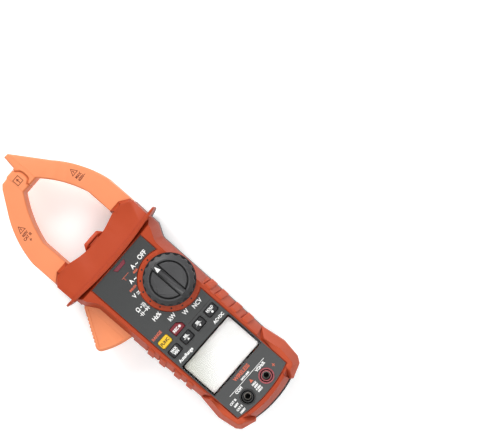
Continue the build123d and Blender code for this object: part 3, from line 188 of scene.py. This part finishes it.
def plain_metal(name, tone, roughness):
    """Plated or rolled metal: bare, with a fine roughness that varies across half a millimetre."""
    made, tree, shader = new_material(name)
    place = add(tree, "ShaderNodeTexCoord").outputs["Object"]
    fine = add(tree, "ShaderNodeTexNoise", {"Vector": place, "Scale": 1000 / 0.5, "Detail": 3.0})
    spread = add(tree, "ShaderNodeMapRange", {"Value": fine.outputs["Fac"],
                                              "To Min": roughness - 0.1, "To Max": roughness + 0.1})
    tree.links.new(spread.outputs["Result"], shader.inputs["Roughness"])
    shader.inputs["Base Color"].default_value = linear(tone)
    shader.inputs["Metallic"].default_value = 1.0
    return made


# ---------------------------------------------------------------- finishes

def finishes():
    """Every finish of the meter, by its slot or by the ink it is printed in."""
    clear, tree, shader = new_material("clear acrylic")
    shader.inputs["Base Color"].default_value = (1, 1, 1, 1)
    shader.inputs["Roughness"].default_value = 0.05
    shader.inputs["Transmission Weight"].default_value = 1.0
    shader.inputs["IOR"].default_value = 1.2
    return {
        "case_orange": moulded("ABS, red-orange", "#AB401F", "#A23B1B", 0.5, 0.8, 0.02, ior=1.3),
        "soft_orange": moulded("TPE, red-orange", "#B94D2E", "#B1482A", 0.62, 0.6, 0.02, ior=1.3),
        "soft_dark": moulded("TPE, dark", "#1B1B1C", "#151516", 0.7, 0.6, 0.02),
        "case_dark": moulded("ABS, dark grey", "#2E2E30", "#28282A", 0.55, 0.8, 0.03),
        "panel": moulded("polycarbonate sheet, printed grey", "#3A3B3B", "#373838", 0.36, 0.6, 0.005),
        "jaw_orange": moulded("nylon, light orange", "#E58A5C", "#E18658", 0.5, 0.7, 0.015),
        "knob_dark": moulded("ABS, charcoal", "#404041", "#3C3C3D", 0.45, 0.7, 0.015),
        "white_plastic": moulded("ABS, white", "#F2F2F0", "#ECECEA", 0.5, 0.8, 0.01),
        "key_dark": moulded("silicone, black", "#1E1E20", "#19191B", 0.5, 0.6, 0.01),
        "key_yellow": moulded("silicone, yellow", "#E8BE2B", "#E2B623", 0.5, 0.6, 0.01),
        "key_red": moulded("silicone, dark red", "#7A1F2A", "#701A25", 0.5, 0.6, 0.01),
        "lens_clear": clear,
        "lcd_grey": display_glass(),
        "light_guide": moulded("acrylic, diffusing", "#F2F2EC", "#EDEDE6", 0.4, 2.0, 0.0),
        "lens_red": moulded("acrylic, dark red", "#7E3A44", "#74343E", 0.2, 2.0, 0.0),
        # the second colour is painted shade inside the socket
        "jack_red": socket_nylon_painted_shade("#94343D", "#150F10"),
        "jack_black": moulded("nylon, black", "#111112", "#0D0D0E", 0.4, 0.8, 0.01),
        # painted shade: the plated brass is given a dark tone, as the sleeves sit deep in the sockets
        "contact_brass": plain_metal("brass, nickel plated, darkened as painted shade", "#5E5A55", 0.35),
        "steel": plain_metal("steel, zinc plated", "#B9BBBE", 0.4),
        "core_steel": plain_metal("silicon steel", "#77787C", 0.5),
        "spring_steel": plain_metal("spring steel", "#8F9196", 0.35),
        "board_green": moulded("glass epoxy, green mask", "#0E5A2E", "#0B5029", 0.35, 1.0, 0.01),
        "chip_black": moulded("epoxy, black", "#1A1A1A", "#151515", 0.5, 0.5, 0.01),
        "can_metal": plain_metal("tinned steel", "#C8C9CB", 0.3),
        "mat_grey": moulded("silicone, grey", "#B8B8B6", "#B0B0AE", 0.6, 1.0, 0.01),
        "carrier_white": moulded("acetal, white", "#E4E3DC", "#DDDCD4", 0.4, 1.0, 0.01),
        "battery_steel": moulded("printed steel jacket", "#3A3B40", "#34353A", 0.35, 1.0, 0.0),
        "lamp_red": moulded("ABS, brown-red", "#BC4A28", "#AE4120", 0.5, 0.8, 0.02),
        "led_white": moulded("epoxy, clear", "#F2F0DC", "#ECEAD4", 0.2, 1.0, 0.0),
        "copper": plain_metal("copper", "#B8734A", 0.35),
        "ink_white": moulded("screen ink, white", "#F4F4F2", "#EDEDEB", 0.5, 0.5, 0.002),
        "ink_orange": moulded("screen ink, orange", "#CE6246", "#C45A40", 0.5, 0.5, 0.002),
        "ink_black": moulded("screen ink, black", "#17100F", "#120C0B", 0.5, 0.5, 0.002),
        "ink_brown": moulded("pad-printed ink, brown", "#70301F", "#662A1A", 0.55, 0.5, 0.002),
    }


def finish_cad_nodes(finish):
    """Each CAD node takes the finish of its own slot."""
    for name, shape in frame["nodes"].items():
        shape.data.materials.clear()
        shape.data.materials.append(finish[SLOTS[name]])


def make_floor():
    """A plain pale sheet just under the meter, a little bright so that it reads as white."""
    bpy.ops.mesh.primitive_plane_add(size=4, location=(0, 0, -0.0004))
    floor = bpy.context.object
    floor.name = "floor"
    made, tree, shader = new_material("white paper")
    shader.inputs["Base Color"].default_value = (0.95, 0.95, 0.95, 1)
    shader.inputs["Roughness"].default_value = 0.9
    shader.inputs["Emission Color"].default_value = (1, 1, 1, 1)
    shader.inputs["Emission Strength"].default_value = 0.26
    floor.data.materials.append(made)


# ---------------------------------------------------------------- shaping tools

def select_only(*pieces):
    """Selects those pieces and nothing else, the first one active."""
    for other in bpy.context.selected_objects:
        other.select_set(False)
    for piece in pieces:
        piece.select_set(True)
    bpy.context.view_layer.objects.active = pieces[0]


def rounded_edges(node, width, segments=2, sharpest=28):
    """A merged copy of a CAD node with its sharp edges rounded, as a mould rounds them, in its place."""
    shape = frame["nodes"][node]
    piece = bpy.data.objects.new(f"{node}_moulded", shape.data.copy())
    bpy.context.collection.objects.link(piece)
    select_only(piece)
    bpy.ops.object.mode_set(mode="EDIT")
    bpy.ops.mesh.select_all(action="SELECT")
    bpy.ops.mesh.remove_doubles(threshold=0.004 * MM)
    bpy.ops.object.mode_set(mode="OBJECT")
    bpy.ops.object.shade_smooth_by_angle(angle=math.radians(30))
    edge = piece.modifiers.new("rounding", "BEVEL")
    edge.width = width * MM
    edge.segments = segments
    edge.limit_method = "ANGLE"
    edge.angle_limit = math.radians(sharpest)
    edge.use_clamp_overlap = False
    edge.harden_normals = True
    bpy.ops.object.modifier_apply(modifier=edge.name)
    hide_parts(node)
    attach(piece, BODIES[node])
    return piece


def centre(node):
    """The middle of a CAD node's box."""
    low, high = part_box(node)
    return (Vector(low) + Vector(high)) / 2


def top(node):
    """The level of a CAD node's highest point."""
    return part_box(node)[1][2]


# ---------------------------------------------------------------- printed marks, and painted shade at the knob

INK = 0.02
CAP_SHARE = 0.72
DIAL_STEP = 22.5
DIAL_PLACES = 9
DOT_REACH = 19.6
JAW_PAD_RISE = 0.4 * MM
SHADOW_RING_RISE = 0.12 * MM
GROOVE_DEPTH = 3.95 * MM


def flatten(piece):
    """Puts a piece's place and size into its mesh."""
    select_only(piece)
    bpy.ops.object.transform_apply(location=True, rotation=True, scale=True)
    return piece


def word(text, x, y, height, bold=0.1, squeeze=0.9, turn=0):
    """Lettering of that height in millimetres, centred at x, y in millimetres, still at level zero."""
    bpy.ops.object.text_add(location=(x * MM, y * MM, 0), rotation=(0, 0, math.radians(turn)))
    made = bpy.context.object
    made.data.body = text
    made.data.size = height / CAP_SHARE * MM
    made.data.align_x = "CENTER"
    made.data.align_y = "CENTER"
    made.data.resolution_u = 3
    made.data.offset = bold * MM
    made.data.extrude = INK / 2 * MM
    made.scale = (squeeze, 1, 1)
    select_only(made)
    bpy.ops.object.convert(target="MESH")
    return flatten(bpy.context.object)


def bar(x, y, length, width, turn=0):
    """A printed stroke, centred at x, y."""
    bpy.ops.mesh.primitive_cube_add(size=1, location=(x * MM, y * MM, 0),
                                    rotation=(0, 0, math.radians(turn)))
    made = bpy.context.object
    made.scale = (length * MM, width * MM, INK * MM)
    return flatten(made)


def spot(x, y, radius, corners=24, turn=0):
    """A printed disc, or with three corners a triangle that points up the meter."""
    bpy.ops.mesh.primitive_cylinder_add(vertices=corners, radius=radius * MM, depth=INK * MM,
                                        location=(x * MM, y * MM, 0), rotation=(0, 0, math.radians(turn)))
    return flatten(bpy.context.object)


def ring(x, y, radius, width, corners=40):
    """A thin flat ring, as thin as a printed mark."""
    bpy.ops.mesh.primitive_torus_add(location=(x * MM, y * MM, 0), major_radius=radius * MM,
                                     minor_radius=width / 2 * MM, major_segments=corners, minor_segments=6)
    made = bpy.context.object
    made.scale = (1, 1, INK / width)
    return flatten(made)


def print_on(name, marks, ink, node, body, level=None):
    """Joins marks to one printed piece on a node's top face."""
    select_only(*marks)
    if len(marks) > 1:
        bpy.ops.object.join()
    piece = bpy.context.object
    piece.name = name
    piece.data.name = name
    piece.location.z = (top(node) if level is None else level) + INK / 2 * MM
    flatten(piece)
    piece.data.materials.clear()
    piece.data.materials.append(ink)
    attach(piece, body)
    return piece


def both_kinds(x, y):
    """The sign for alternating or steady current: a wave over a dashed rule."""
    return [word("~", x, y + 0.7, 3.2, squeeze=0.8), bar(x, y - 0.5, 2.2, 0.28),
            *[bar(x + step * 0.85, y - 1.1, 0.5, 0.28) for step in (-1, 0, 1)]]


def dial_marks():
    """White legends round the switch, one at each of its nine places."""
    knob = centre("knob") / MM
    legends = [("OFF", 24.7, 3.3), ("A", 26.0, 3.2), ("A", 25.6, 3.0), ("V", 25.9, 3.0), (None, 0, 0),
               ("Hz%", 26.6, 3.0), ("kW", 25.6, 3.1), ("W", 24.6, 3.1), ("NCV", 24.6, 3.0)]
    marks = []
    for step, (text, reach, height) in enumerate(legends):
        angle = math.radians(90 + DIAL_STEP * step)
        x, y = knob.x + reach * math.cos(angle), knob.y + reach * math.sin(angle)
        if text:
            marks.append(word(text, x, y, height))
        if text == "A":
            marks.append(word("~", x + 3.3, y - 0.3, 3.6, squeeze=0.8))
        if text == "V":
            marks += both_kinds(x + 3.4, y)
    x, y = knob.x - 27.0, knob.y + 0.2
    marks += [word("Ω", x - 2.4, y + 1.8, 3.0), spot(x + 0.4, y + 1.8, 0.6),
              word(")))", x + 2.8, y + 1.8, 2.6, squeeze=0.75)]
    low = y - 1.9
    marks += [bar(x - 2.9, low, 0.5, 2.8), bar(x - 1.8, low, 0.5, 2.8), bar(x - 3.7, low, 1.4, 0.4),
              bar(x - 1.0, low, 1.4, 0.4), spot(x + 2.0, low, 1.5, 3, -90), bar(x + 3.3, low, 0.5, 2.8),
              bar(x + 2.0, low, 5.0, 0.4)]
    return marks


def make_face_prints(white, orange, black):
    """The face panel's printed words, rules and dots, in three inks."""
    window = centre("lcd_glass") / MM
    com, volt = centre("jack_body_com") / MM, centre("jack_body_volt") / MM
    knob = centre("knob") / MM
    print_on("dial_legends", dial_marks(), white, "face_overlay", "housing")
    print_on("range_legends", [
        word("400A", 4.4, 6.4, 1.5), word("INRUSH", -5.4, -0.2, 1.5, squeeze=0.8),
        bar(-2.6, 9.3, 6.4, 0.3), bar(-4.4, 8.0, 0.3, 2.4),
        word("RANGE", -19.0, -33.3, 2.1), word("WIRELESS", 0, window.y - 17.9, 2.7),
        spot(0.1, com.y + 5.3, 1.6, 3), word("+", 18.1, volt.y + 1.0, 3.4),
    ], orange, "face_overlay", "housing")
    lower = [
        word("AutoRange", -15.6, -56.4, 2.3), word("AC+DC", 17.6, -56.5, 2.2),
        word("DATA LINK", 0, window.y - 21.2, 1.2), bar(0, window.y - 22.7, 34.6, 0.32),
        word("COM", com.x - 0.6, com.y + 7.3, 2.1), word("VΩHz%", volt.x + 1.8, volt.y + 7.1, 2.1),
        word("MAX", 0.0, com.y + 2.6, 1.4), word("600V", 0.0, com.y + 0.6, 1.4),
        word("FUSED", 0.0, com.y - 1.4, 1.2), word("INPUT", 0.0, com.y - 3.2, 1.2),
    ]
    for step, text in enumerate(("CAT III", "600V", "CAT II", "1000V")):
        lower.append(word(text, -18.7, com.y + 4.9 - 2.9 * step, 1.5))
    print_on("input_legends", lower, white, "face_overlay", "housing")
    print_on("key_rule", [bar(12.0, -43.9, 22.0, 0.3)], black, "face_overlay", "housing")
    dots = []
    for step in range(DIAL_PLACES):
        angle = math.radians(90 + DIAL_STEP * step)
        x, y = knob.x + DOT_REACH * math.cos(angle), knob.y + DOT_REACH * math.sin(angle)
        dots.append(spot(x, y, 0.62, 16))
    print_on("dial_dots", dots, black, "front_case", "housing", RIM_LEVEL)


def outline_marks(x, y, side, corners):
    """A printed outline with equal sides: a triangle that points up the meter, or a square."""
    inner = side / 2 / math.tan(math.pi / corners)
    marks = []
    for step in range(corners):
        angle = math.radians(-90 + 360 / corners * step)
        marks.append(bar(x + inner * math.cos(angle), y + inner * math.sin(angle), side + 0.4, 0.45,
                         math.degrees(angle) + 90))
    return marks


def make_jaw_marks(brown):
    """Category marks on both jaws, and the conductor arrow in a square on the moving jaw's end."""
    arm = top("moving_jaw_front") - JAW_PAD_RISE
    print_on("moving_jaw_marks", [
        *outline_marks(-26.1, 83.2, 4.8, 3), bar(-26.1, 83.5, 0.6, 1.7), word("600V", -26.6, 79.4, 1.9),
        word("CAT III", -26.8, 76.8, 1.9), word("+", -26.8, 73.8, 2.8),
    ], brown, "moving_jaw_front", "moving_jaw", arm)
    print_on("moving_jaw_arrow", [
        *outline_marks(-2.6, 106.8, 4.9, 4), spot(-2.6, 107.4, 1.2, 3), bar(-2.6, 105.8, 0.5, 2.2),
    ], brown, "moving_jaw_front", "moving_jaw")
    print_on("fixed_jaw_marks", [
        *outline_marks(26.6, 82.3, 4.8, 3), bar(26.6, 82.6, 0.6, 1.7), word("MAX", 27.0, 78.4, 1.9),
        word("600V~", 27.8, 75.8, 1.9),
    ], brown, "fixed_jaw_front", "housing", arm)


def make_knob_painted_shade(black):
    """Painted shade at the knob, in black: a ring in its groove, strips in the gaps beside its bar, and a
    ring round its skirt's foot, where shadow falls.
    """
    knob = centre("knob") / MM
    floor = top("knob") - GROOVE_DEPTH
    # painted shade: a black ring in the groove and black strips in the gaps beside the bar
    groove_shade = ring(knob.x, knob.y, 12.55, 1.0, 64)
    bar_side_shades = [bar(knob.x + side * 2.62, knob.y, 24.2, 0.78, 90) for side in (1, -1)]
    print_on("knob_groove_painted_shade", [groove_shade, *bar_side_shades], black, "knob", "selector", floor)
    # painted shadow: a black ring round the knob's foot
    skirt = print_on("knob_skirt_painted_shadow", [ring(knob.x, knob.y, 17.1, 2.0, 80)], black, "knob", "selector",
                     RIM_LEVEL + SHADOW_RING_RISE)


def make_key_prints(white, black):
    """Each key's legend rides on its key."""
    def on_key(key, marks, ink):
        piece = print_on(f"{key}_legend", marks, ink, key, key)

    place = {key: centre(key) / MM for key in BODIES if key.startswith("key_")}
    at = place["key_function"]
    on_key("key_function", [word("FUNC", at.x, at.y, 2.2)], black)
    at = place["key_record"]
    on_key("key_record", [word("REC", at.x - 1.6, at.y - 0.2, 2.0), spot(at.x + 2.0, at.y - 0.2, 0.9)],
           white)
    at = place["key_max_min"]
    on_key("key_max_min", [word("MAX", at.x, at.y + 1.3, 1.8), bar(at.x, at.y, 5.2, 0.22),
                           word("MIN", at.x, at.y - 1.3, 1.8)], white)
    at = place["key_up"]
    on_key("key_up", [word("REL", at.x, at.y + 1.3, 1.7), bar(at.x, at.y + 0.1, 5.0, 0.22),
                      spot(at.x, at.y - 1.3, 1.05, 3)], white)
    at = place["key_down"]
    on_key("key_down", [word("SEL", at.x, at.y + 1.3, 1.7), bar(at.x, at.y + 0.1, 5.0, 0.22),
                        spot(at.x, at.y - 1.1, 1.05, 3, 180)], white)
    at = place["key_hold"]
    on_key("key_hold", [word("HOLD", at.x, at.y + 1.3, 1.7), bar(at.x, at.y + 0.1, 5.0, 0.22),
                        spot(at.x, at.y - 1.3, 0.8)], white)


# ---------------------------------------------------------------- making

ROUNDED = {
    "front_case": 0.15, "rear_case": 0.25, "base_bumper_right": 0.4, "base_bumper_left": 0.4,
    "side_grip_right": 0.25, "side_grip_left": 0.25, "fixed_jaw_front": 0.18, "fixed_jaw_rear": 0.2,
    "moving_jaw_front": 0.18, "moving_jaw_rear": 0.2, "knob": 0.15, "lamp_holder": 0.2, "battery_door": 0.15,
}

make_camera()
make_world()
for name, (place, size, power) in LIGHTS.items():
    make_light(name, place, size, power)
make_floor()
finish = finishes()
finish_cad_nodes(finish)
for node, width in ROUNDED.items():
    rounded_edges(node, width)
white_ink, orange_ink, black_ink = (finish[name] for name in ("ink_white", "ink_orange", "ink_black"))
make_face_prints(white_ink, orange_ink, black_ink)
make_key_prints(white_ink, black_ink)
make_jaw_marks(finish["ink_brown"])
make_knob_painted_shade(finish["key_dark"])
